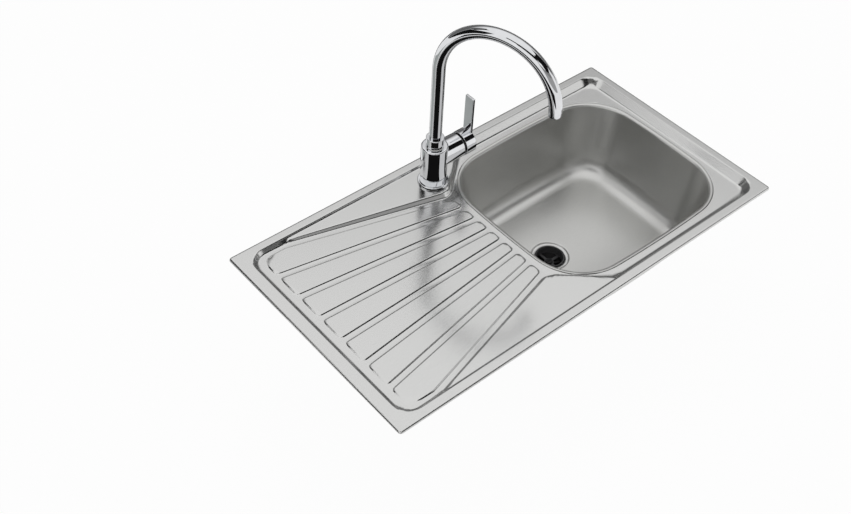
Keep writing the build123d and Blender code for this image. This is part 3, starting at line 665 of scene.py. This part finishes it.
def deck_grid():
    """The grid of the deck: x and y of each point, the directions of the bowl's weld line
    at the grid points on it, and which faces are left out for the bowl. Left of the bowl
    the lines follow the pads. Beside the bowl they run from the pads to the weld line, and
    behind it they lean with the end of the ledge and straighten over the bowl."""
    left_columns = np.concatenate([
        -half_length + fold_lines,
        -half_length + np.append(rim_insets, 17.5),
        tray_left - np.array(step_lines(left_step)),
        spaced((-397.0, 0), (-389.5, 3)),
        pad_left + across_edge[::-1],
        spaced((-381.5, 0), (-377.0, 3), (-360.0, 5), (-300.0, 8), (-60.0, 20), (-45.0, 3),
               (-37.0, 5)),
        pad_right - across_edge,
    ])
    rows = half_rows(left_columns)
    start_y = rows[:, -1]
    corner_row = int(np.argmin(np.abs(start_y - corner_row_y)))
    foot_row = len(start_y) - len(fold_lines) - len(rim_insets) - step_line_count
    turn = np.linspace(pi / 2, pi, 4001)
    side_y = bowl_outline(turn, weld_margin)[1]
    left_turn = np.interp(start_y[:corner_row + 1], side_y[::-1], turn[::-1])
    back_turn = np.linspace(left_turn[-1], pi - left_turn[-1], 8001)
    walked = np.stack(bowl_outline(back_turn, weld_margin))
    length = np.concatenate([[0], np.cumsum(np.hypot(*np.diff(walked)))])
    back_count = 96
    back_turn = np.interp(np.linspace(0, length[-1], back_count + 1), length, back_turn)

    right_columns = np.concatenate([
        tray_right + np.array(step_lines(right_step))[::-1],
        half_length - rim_insets[::-1],
        half_length - fold_lines[::-1],
    ])
    beside = 16
    after = 10
    share = np.linspace(0, 1, beside + 1)[1:]
    hole_x, hole_y = bowl_outline(left_turn, weld_margin)
    low_x = left_columns[-1] + (hole_x[:, None] - left_columns[-1]) * share
    low_y = np.repeat(hole_y[:, None], beside, axis=1)
    far_hole_x, far_hole_y = bowl_outline(pi - left_turn, weld_margin)
    far_share = np.linspace(0, 1, after + 2)[1:-1]
    far_low_x = far_hole_x[:, None] + (right_columns[0] - far_hole_x[:, None]) * far_share
    far_low_y = np.repeat(far_hole_y[:, None], after, axis=1)
    back_x, back_y = bowl_outline(back_turn, weld_margin)

    # rows up to the corner row: beside the bowl, a gap over the bowl, and past it
    blank = np.zeros((corner_row + 1, back_count - 1))
    right_x, right_y = np.meshgrid(right_columns, start_y[:corner_row + 1])
    lower_x = np.hstack([np.tile(left_columns, (corner_row + 1, 1)), low_x,
                         blank, far_hole_x[:, None], far_low_x, right_x])
    lower_y = np.hstack([rows[:corner_row + 1], low_y,
                         blank, far_hole_y[:, None], far_low_y, right_y])
    first = len(left_columns) + beside - 1
    last = first + back_count
    lower_x[corner_row, first:last + 1] = back_x
    lower_y[corner_row, first:last + 1] = back_y

    # rows behind the corner row
    foot_x = lower_x[corner_row].copy()
    base_y = lower_y[corner_row]
    lean = (tray_back - ledge_step - start_y[corner_row]) / ledge_rise
    moved = np.zeros_like(foot_x)
    begin = len(left_columns)
    moved[begin:first + 1] = lean * np.linspace(0, 1, beside + 1)[1:]
    top_x = foot_x + moved
    top_x[first:last + 1] = np.linspace(top_x[first], foot_x[last], back_count + 1)
    above = len(start_y) - corner_row - 1
    upper_x = np.tile(top_x, (above, 1))
    upper_y = np.zeros_like(upper_x)
    width = step_width(top_x)
    gaps = foot_row - corner_row
    share = (np.arange(1, gaps + 1) / gaps)[:, None]
    upper_x[:gaps] = foot_x + (top_x - foot_x) * share
    upper_y[:gaps] = base_y + (tray_back - width - base_y) * share
    steps = tray_back + np.array(step_lines(width))[::-1][1:]
    upper_y[gaps:gaps + len(steps)] = steps
    upper_y[gaps + len(steps):] = start_y[foot_row + step_line_count:, None]
    upper_x[:, :begin] = left_columns
    upper_y[:, :begin] = rows[corner_row + 1:]
    half_x = np.vstack([lower_x, upper_x])
    half_y = np.vstack([lower_y, upper_y])
    x = np.vstack([half_x[:0:-1], half_x])
    y = np.vstack([-half_y[:0:-1], half_y])

    middle = len(half_x) - 1
    weld = np.concatenate([
        pi - left_turn, back_turn[::-1][1:-1], left_turn[::-1],
        2 * pi - left_turn[1:], 2 * pi - back_turn[1:-1], pi + left_turn[::-1][:-1],
    ])
    hole = (middle - corner_row, middle + corner_row, first, last)
    return x, y, weld, hole


def round_off(x, y):
    """Draws the square corners of the grid onto round ones: a point of the corner square
    keeps its direction from the corner's centre, and its longer side becomes its radius."""
    off_x = np.abs(x) - (half_length - edge_corner)
    off_y = np.abs(y) - (half_depth - edge_corner)
    inside = (off_x > 0) & (off_y > 0)
    reach = np.where(inside, np.hypot(off_x, off_y), 1.0)
    longer = np.maximum(off_x, off_y)
    new_x = np.where(inside, half_length - edge_corner + off_x * longer / reach, np.abs(x))
    new_y = np.where(inside, half_depth - edge_corner + off_y * longer / reach, np.abs(y))
    return np.sign(x) * new_x, np.sign(y) * new_y


def thicken(piece, thickness):
    """Gives a sheet its thickness, below its visible face."""
    wall = piece.modifiers.new("wall", "SOLIDIFY")
    wall.thickness = thickness * MM
    wall.offset = -1.0
    return piece


def pressed_deck():
    """The pressing: height over the grid, less the bowl's opening and the tap hole."""
    x, y, weld, hole = deck_grid()
    x, y = round_off(x, y)
    z = deck_height(x, y)
    points = xyz(x, y, z).reshape(-1, 3)
    faces = quads(*x.shape)
    row, column = np.divmod(faces[:, 0], x.shape[1])
    low, high, first, last = hole
    kept = ~((row >= low) & (row < high) & (column >= first) & (column < last))
    faces = faces[kept]
    centre = points[faces].mean(axis=1)
    far = np.hypot(centre[:, 0] - tap_x, centre[:, 1] - tap_y) > tap_hole_radius
    edge = np.intersect1d(faces[far], faces[~far])
    off = points[edge, :2] - [tap_x, tap_y]
    points[edge, :2] = [tap_x, tap_y] + off / np.linalg.norm(off, axis=1)[:, None] * tap_hole_radius
    faces = faces[far]
    used, numbers = np.unique(faces, return_inverse=True)
    return lay("deck_sheet", points[used], numbers.reshape(faces.shape)), weld


deck, weld_directions = pressed_deck()
thicken(deck, sheet)
finish(deck, "sink", ["deck_pressing"], deck_steel)


# ======== bowl
def drawn_bowl(directions):
    """The bowl: a profile of (margin, height) pairs carried round the outline. A point is
    the outline point of its direction, moved out by margin. On the floor the rings change
    gradually from the outline into the circle of the waste."""
    further_in = -90.0            # gives the floor's direction, and is left off again
    wall = rounded([
        (weld_margin, drain_level), (0.0, drain_level, lip_radius),
        (-wall_lean, bowl_floor, floor_radius), (further_in, bowl_floor),
    ], steps=9, support=0.6)[:-1]
    straight = int(np.argmax(-np.diff(wall[:, 1])))
    shares = np.linspace(0, 1, 9)[1:-1, None]
    between = wall[straight] + (wall[straight + 1] - wall[straight]) * shares
    wall = np.vstack([wall[:straight + 1], between, wall[straight + 1:]])
    rings = [xyz(*bowl_outline(directions, margin), level) for margin, level in wall]
    last = rings[-1]
    angle = np.arctan2(last[:, 1], last[:, 0] - drain_x)
    circle = xyz(np.cos(angle), np.sin(angle), 0)
    seat = rounded([
        (recess_radius + 5.0, bowl_floor), (recess_radius, bowl_floor, recess_round),
        (recess_radius - recess_depth, bowl_floor - recess_depth, recess_round),
        (waste_hole_radius, bowl_floor - recess_depth),
    ], steps=4, support=0.2)
    centre = np.array([drain_x, 0.0, 0.0])
    seat_rings = [centre + circle * radius + [0, 0, level] for radius, level in seat]
    rings += [last + (seat_rings[0] - last) * share for share in (0.12, 0.28, 0.48, 0.68, 0.86)]
    points = np.stack(rings + seat_rings)
    faces = quads(len(points), len(directions), wrap=True)
    return lay("bowl_shell", points, faces[:, ::-1])


bowl = thicken(drawn_bowl(weld_directions), sheet)
finish(bowl, "sink", ["bowl"], bowl_steel)


# ======== waste
flange_outer = (flange_high[0] - flange_low[0]) / 2
strainer_outer = (strainer_high[0] - strainer_low[0]) / 2
flange_inner = strainer_outer - 1.0
flange_underside = flange_high[2] - 1.0
flange_profile = rounded([
    (flange_inner, flange_low[2]), (strainer_outer, flange_low[2]),
    (strainer_outer, flange_underside, 0.3), (flange_outer, flange_underside),
    (flange_outer, flange_high[2] - 0.7, 0.2), (flange_outer - 1.5, flange_high[2], 0.8),
    (flange_inner, flange_high[2]), (flange_inner, flange_low[2]),
], steps=4, support=0.1)
flange = turned("flange_ring", flange_profile, (drain_x, 0.0, 0.0), steps=128)
finish(flange, "sink", ["waste_flange"], waste_steel)


# ======== tap
def at_tap(height=0.0):
    """Point on the tap axis."""
    return (tap_x, tap_y, height)


base_profile = rounded([
    (spigot_radius, 0.0), (base_radius, 0.0, 0.3), (base_radius, base_top, 1.6),
    (body_radius - 1, base_top),
], support=0.15)
base = turned("base_flange", base_profile, at_tap())
finish(base, "sink", ["base_ring"], chrome)

body_profile = rounded([
    (spigot_radius, -sheet), (spigot_radius, base_top - 0.3), (body_radius - 0.6, base_top - 0.3),
    (body_radius, base_top + 0.4), (body_radius, body_top, 3.0), (collar_radius - 2, body_top),
], steps=8, support=0.3)
body_profile = np.vstack([[0.0, -sheet], body_profile, [0.0, body_top]])


def body_and_horn():
    """Upright body and the horn for the lever side. The horn starts on the body's round
    face: its first ring lies at x = root of (body radius squared less y squared)."""
    column = turned("tap_column", body_profile, at_tap(), steps=128)
    angle = np.linspace(0, 2 * pi, 96, endpoint=False)
    profile = rounded([
        (horn_radius, 0.0), (horn_radius, horn_end, 1.0), (horn_bore, horn_end, 0.3),
        (horn_bore, horn_end - horn_bore_depth),
    ], support=0.2)
    across = np.outer(profile[:, 0], np.cos(angle))
    up = np.outer(profile[:, 0], np.sin(angle))
    along = np.repeat(profile[:, 1:2], len(angle), axis=1)
    along[0] = np.sqrt(body_radius ** 2 - across[0] ** 2) - overlap
    points = xyz(along, across, up) + np.array(at_tap(horn_z))
    horn = lay("tap_horn", points, quads(len(profile), len(angle), wrap=True), recalculate=True)
    return column, horn


column, horn = body_and_horn()
finish(column, "sink", ["tap_body"], chrome)
finish(horn, "sink", [], chrome)

collar_profile = rounded([
    (tube_radius, collar_low[2]), (collar_radius, collar_low[2], 0.6),
    (collar_radius, collar_high[2], 1.2), (tube_radius, collar_high[2]),
], support=0.2)
collar = turned("spout_sleeve", collar_profile, at_tap())
finish(collar, "spout", ["spout_collar"], chrome)


def bent_tube():
    """Spout: a circle carried along a line, a half circle and a short line, all in one
    upright plane. A ring point is path point + radius * (cos * inward + sin * sideways).
    The wall turns over at the outlet and runs a little way back inside."""
    straight = np.linspace(spout_foot_z, spout_arc_z, 8)[:-1]
    bend = np.linspace(pi, 0, 61)
    ends = np.array([0.6, 0.15, 0.0, 0.15, 6.0])         # heights above the outlet
    out = np.concatenate([0 * straight, spout_arc_radius * (1 + np.cos(bend)),
                          2 * spout_arc_radius + 0 * ends])
    up = np.concatenate([straight, spout_arc_z + spout_arc_radius * np.sin(bend), outlet_z + ends])
    inner = tube_radius - tube_wall
    radius = np.full(len(up), tube_radius)
    radius[-4:] = [tube_radius - 0.2, (tube_radius + inner) / 2, inner + 0.2, inner]
    turn = np.concatenate([0 * straight, pi - bend, pi + 0 * ends])
    angle = np.linspace(0, 2 * pi, 64, endpoint=False)
    ahead = np.array([cos(spout_heading), sin(spout_heading), 0.0])
    side = np.array([-sin(spout_heading), cos(spout_heading), 0.0])
    path = np.outer(out, ahead) + np.outer(up, [0, 0, 1]) + [tap_x, tap_y, 0]
    inward = np.outer(np.cos(turn), ahead) - np.outer(np.sin(turn), [0, 0, 1])
    ring = np.cos(angle)[:, None] * inward[:, None, :] + np.sin(angle)[:, None] * side
    points = path[:, None, :] + radius[:, None, None] * ring
    return lay("spout_pipe", points, quads(len(path), len(angle), wrap=True), recalculate=True)


finish(bent_tube(), "spout", ["spout_tube"], chrome)


def lever_blade():
    """Flat blade: a rounded rectangle carried upwards, drawn in at the top along a quarter
    round, and closed. A corner's points are its centre + radius * (cos, sin)."""
    quarter = np.linspace(0, pi / 2, 6)
    turns = np.concatenate([quarter + corner * pi / 2 for corner in range(4)])
    sign_x = np.repeat([1, -1, -1, 1], len(quarter))
    sign_y = np.repeat([1, 1, -1, -1], len(quarter))
    round_foot = lever_top - blade_top_round
    insets = [0, 0, *(blade_top_round * (1 - np.cos(quarter)))]
    levels = [blade_foot_z, round_foot - 0.3, *(round_foot + blade_top_round * np.sin(quarter))]
    rings = []
    for inset, level in zip(insets, levels):
        middle = np.array([blade_thickness / 2, blade_width / 2]) - inset - blade_corner
        rings.append(xyz(sign_x * middle[0] + blade_corner * np.cos(turns),
                         sign_y * middle[1] + blade_corner * np.sin(turns), level))
    for share in (0.6, 0.2, 0.0):
        rings.append(rings[-1] * [share, share, 1])
    centre = [tap_x + cap_end - overlap - blade_thickness / 2, tap_y, 0]
    faces = quads(len(rings), len(turns), wrap=True)
    return lay("lever_blade", np.stack(rings) + centre, faces, recalculate=True)


cap_profile = rounded([
    (0.0, cap_end), (cap_radius, cap_end, 1.1), (cap_radius, cap_start, 0.5),
    (cap_radius - cap_wall, cap_start, 0.4), (cap_radius - cap_wall, cap_end - blade_thickness),
    (0.0, cap_end - blade_thickness),
], support=0.2)
cap = turned("lever_cap", cap_profile, at_tap(horn_z), along="x")
finish(cap, "lever", ["handle"], chrome)
finish(lever_blade(), "lever", [], chrome)

gap_outer = (gap_high[1] - gap_low[1]) / 2
gap_profile = rounded([
    (gap_ring_bore, gap_low[0] - tap_x), (gap_outer, gap_low[0] - tap_x, 0.2),
    (gap_outer, gap_high[0] - tap_x, 0.3), (gap_ring_bore, gap_high[0] - tap_x),
], support=0.1)
gap = turned("cover_ring", np.vstack([gap_profile, gap_profile[:1]]), at_tap(horn_z), along="x")
# The black ring in the gap between horn and lever cap is partly a real cover ring and partly
# painted shade: its black stands for the shadow down in the gap.
finish(gap, "sink", ["gap_ring"], black_plastic_and_gap_shade)

# ======== pieces kept as they are
dress = {
    strainer_plastic_and_hole_shade: ["strainer"],
    foam: ["rim_seal"],
    bitumen: ["sound_pad"],
    zinc: ["clip_rails", "horseshoe_plate", "spout_screw", "pivot_pin", "handle_screw"],
    seal_rubber: ["flange_seal", "body_seal", "base_seal", "horseshoe_washer", "spout_o_rings",
                  "cartridge_seals"],
    black_plastic_and_gap_shade: ["waste_body"],
    brass: ["waste_insert", "fixing_stud", "stud_nut", "spout_stem", "spindle", "cartridge_nut"],
    black_steel_and_hole_shade: ["waste_screw"],
    white_plastic: ["glide_ring", "aerator_insert", "cartridge_base", "cartridge_housing",
                    "turn_carrier"],
    chrome: ["aerator_shell"],
    alumina: ["fixed_disc", "moving_disc"],
    plug_plastic: ["handle_plug"],
}
for material, nodes in dress.items():
    for node in nodes:
        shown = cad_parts[node].data.materials
        shown.clear()
        shown.append(material)

# ======== studio
floor_level = cad_box[0][2]


def staged(name, points, faces, material):
    """Card of the studio, from points in metres."""
    card = lay(name, points / MM, faces)
    card.data.materials.append(material)
    return card


def seen_as_white(tree):
    """1 for camera, mirror and glass rays and 0 for the light that falls on surfaces."""
    path = tree.nodes.new("ShaderNodeLightPath").outputs
    seen = path["Is Camera Ray"]
    for ray in ("Is Glossy Ray", "Is Transmission Ray"):
        seen = add(tree, "ShaderNodeMath", {0: seen, 1: path[ray]}, operation="MAXIMUM")
    return seen


def floor_material():
    """Matt white floor. The camera, mirrors and glass see it almost as a lit white sheet,
    and the rest of its brightness is the light that falls on it, so its shadow stays."""
    material = bpy.data.materials.new("white_floor")
    tree = emptied(material)
    white_share = 0.96
    part = add(tree, "ShaderNodeMath", {0: seen_as_white(tree), 1: white_share},
               operation="MULTIPLY")
    matt = add(tree, "ShaderNodeBsdfDiffuse", {"Color": linear("#f4f4f4")})
    white = add(tree, "ShaderNodeEmission", {"Color": linear("#ffffff"), "Strength": 1.0})
    mixed = add(tree, "ShaderNodeMixShader", {"Fac": part, 1: matt, 2: white})
    add(tree, "ShaderNodeOutputMaterial", {"Surface": mixed})
    return material


floor_half = 6.0
floor_corners = np.array([(-1, -1, 0), (1, -1, 0), (1, 1, 0), (-1, 1, 0)]) * floor_half
staged("floor", floor_corners + [0, 0, floor_level], np.array([[0, 1, 2, 3]]), floor_material())

world = bpy.data.worlds.new("studio")
sky = emptied(world)
bpy.context.scene.world = world

# Behind the sink the room is dim near the horizon and brightens upwards. Only reflections
# show it: the camera sees white, and the light that falls on surfaces is even.
behind_sink = (0.643, 0.766, 0.0)
even_light = 0.55
way = sky.nodes.new("ShaderNodeTexCoord").outputs["Generated"]
facing = add(sky, "ShaderNodeVectorMath", {0: way, 1: behind_sink}, operation="DOT_PRODUCT")
behind = add(sky, "ShaderNodeMapRange",
             {"Value": facing.outputs["Value"], "From Min": 0.15, "From Max": 0.45},
             interpolation_type="SMOOTHSTEP")
height = add(sky, "ShaderNodeSeparateXYZ", {0: way}).outputs["Z"]
rise = add(sky, "ShaderNodeMapRange", {"Value": height, "From Min": 0.43, "From Max": 0.72,
                                       "To Min": 0.15, "To Max": 1.0})
mirrored = add(sky, "ShaderNodeMix", {"Factor": behind, "A": 1.0, "B": rise})
camera_ray = sky.nodes.new("ShaderNodeLightPath").outputs["Is Camera Ray"]
shown_level = add(sky, "ShaderNodeMix", {"Factor": camera_ray, "A": mirrored, "B": 1.0})
level = add(sky, "ShaderNodeMix", {"Factor": seen_as_white(sky), "A": even_light, "B": shown_level})
light = add(sky, "ShaderNodeBackground", {"Color": linear("#ffffff"), "Strength": level})
add(sky, "ShaderNodeOutputWorld", {"Surface": light})

# One soft square lamp overhead, which polished metal does not mirror.
lamp_place = Vector((0.5, 0.8, 2.2))
lamp_aim = Vector((0.1, 0.0, 0.0))
lamp = bpy.data.lights.new("overhead", "AREA")
lamp.shape = "SQUARE"
lamp.size = 1.6
lamp.energy = 9.0
overhead = placed("overhead", lamp)
overhead.location = lamp_place
overhead.rotation_euler = (lamp_aim - lamp_place).to_track_quat("-Z", "Y").to_euler()
overhead.visible_glossy = False


def card_tone(name, code, clear_side=None):
    """Even tone for a studio card: it glows in its own colour, whatever light falls on it.
    A card with a clear side, "under" or "over", is seen through from there."""
    material = bpy.data.materials.new(name)
    tree = emptied(material)
    glow = add(tree, "ShaderNodeEmission", {"Color": linear(code), "Strength": 1.0})
    if clear_side:
        under = tree.nodes.new("ShaderNodeNewGeometry").outputs["Backfacing"]
        clear = tree.nodes.new("ShaderNodeBsdfTransparent")
        sides = {"under": {1: glow, 2: clear}, "over": {1: clear, 2: glow}}[clear_side]
        glow = add(tree, "ShaderNodeMixShader", {"Fac": under, **sides})
    add(tree, "ShaderNodeOutputMaterial", {"Surface": glow})
    return material


black_cloth = card_tone("black_cloth", "#141414")
grey_card = card_tone("grey_card", "#a9adab")
dim_cloth = card_tone("dim_cloth", "#a8a8a8")
mid_cloth = card_tone("mid_cloth", "#868686")
black_flag = card_tone("black_flag", "#141414", "under")
pale_flag = card_tone("pale_flag", "#d2d2d2", "under")
bowl_reflector = card_tone("bowl_reflector", "#dedede", "over")


def mirrored_only(name, points, material):
    """Card that shows only in reflections, where it gives polished metal its stripes: a
    grid of points in metres."""
    card = staged(name, points, quads(*points.shape[:2]), material)
    card.visible_camera = False
    card.visible_diffuse = False
    card.visible_shadow = False


def curtain(name, azimuths, elevations, material=black_cloth):
    """Black or grey curtain, part of a sphere round the object. Azimuths run in degrees
    from the front (-Y) towards +X, and elevations upwards from the level of the worktop."""
    azimuth, elevation = np.meshgrid(np.radians(np.linspace(*azimuths, 25)),
                                     np.radians(np.linspace(*elevations, 13)))
    level = np.cos(elevation)
    ways = xyz(level * np.sin(azimuth), -level * np.cos(azimuth), np.sin(elevation))
    mirrored_only(name, ways * curtain_radius, material)


def ring_card(name, azimuths, radii, material, centre=(0.0, 0.0, floor_level + 0.002)):
    """Level card: the part of a ring round a centre between two azimuths. On the floor it
    lies round the object."""
    radius, azimuth = np.meshgrid(np.linspace(*radii, 13), np.radians(np.linspace(*azimuths, 25)))
    ring = xyz(radius * np.sin(azimuth), -radius * np.cos(azimuth), 0)
    mirrored_only(name, ring + centre, material)


curtain_radius = 5.0
curtain("camera_side_screen", (-88.0, 4.0), (40.0, 52.0))
curtain("camera_low_screen", (-72.0, -30.0), (33.0, 40.0))
curtain("right_front_screen", (-10.0, 56.0), (29.0, 57.0))
curtain("right_side_screen", (56.0, 70.0), (15.0, 57.0))
curtain("front_middle_screen", (-40.0, 28.5), (21.0, 29.0), mid_cloth)
curtain("front_low_screen", (-40.0, 28.5), (0.0, 21.0), dim_cloth)
curtain("left_back_screen", (-150.0, -100.0), (-2.0, 30.0))
curtain("left_pad_screen", (-160.0, -133.0), (31.0, 52.0))

# Flags laid low round the front of the tap, for the stripes down its column. They are
# clear from under, so that the deck below them still mirrors the room.
flag_place = (tap_x * MM, tap_y * MM, 0.0008)
flag_radii = (0.0284, 0.36)
ring_card("stripe_flag", (-86.0, 2.0), flag_radii, black_flag, flag_place)
ring_card("light_flag", (2.0, 50.0), flag_radii, pale_flag, flag_place)
ring_card("edge_flag", (50.0, 66.0), flag_radii, black_flag, flag_place)

# A pale card over the middle of the bowl, clear from above, and cards on the floor.
card_x, card_y = np.meshgrid(np.linspace(0.08, 0.375, 5), np.linspace(-0.085, 0.015, 5))
mirrored_only("bowl_card", xyz(card_x, card_y, -0.005), bowl_reflector)
ring_card("left_floor_card", (-110.0, -30.0), (0.9, 2.2), black_cloth)
ring_card("back_left_floor_card", (-165.0, -115.0), (0.2, 1.2), grey_card)
ring_card("back_floor_card", (110.0, 175.0), (0.45, 4.0), black_cloth)

# ======== camera
camera_azimuth = radians(-42.274)
camera_elevation = radians(46.083)
camera_roll = radians(3.0)
camera_place = Vector((-1.084488, -0.979395, 1.414014))
focal_pixels = 1173.943
frame_width = 851.0
sensor_width = 36.0

camera = bpy.data.cameras.new("camera")
camera.sensor_width = sensor_width
camera.lens = focal_pixels / frame_width * sensor_width
holder = placed("camera", camera)
back = Vector((
    sin(camera_azimuth) * cos(camera_elevation),
    -cos(camera_azimuth) * cos(camera_elevation),
    sin(camera_elevation),
))
level_x = Vector((0, 0, 1)).cross(back).normalized()
level_y = back.cross(level_x)
side_x = cos(camera_roll) * level_x + sin(camera_roll) * level_y
side_y = -sin(camera_roll) * level_x + cos(camera_roll) * level_y
turn = Matrix((side_x, side_y, back)).transposed().to_4x4()
holder.matrix_world = Matrix.Translation(camera_place) @ turn
bpy.context.scene.camera = holder
bpy.context.scene.view_settings.view_transform = "Standard"
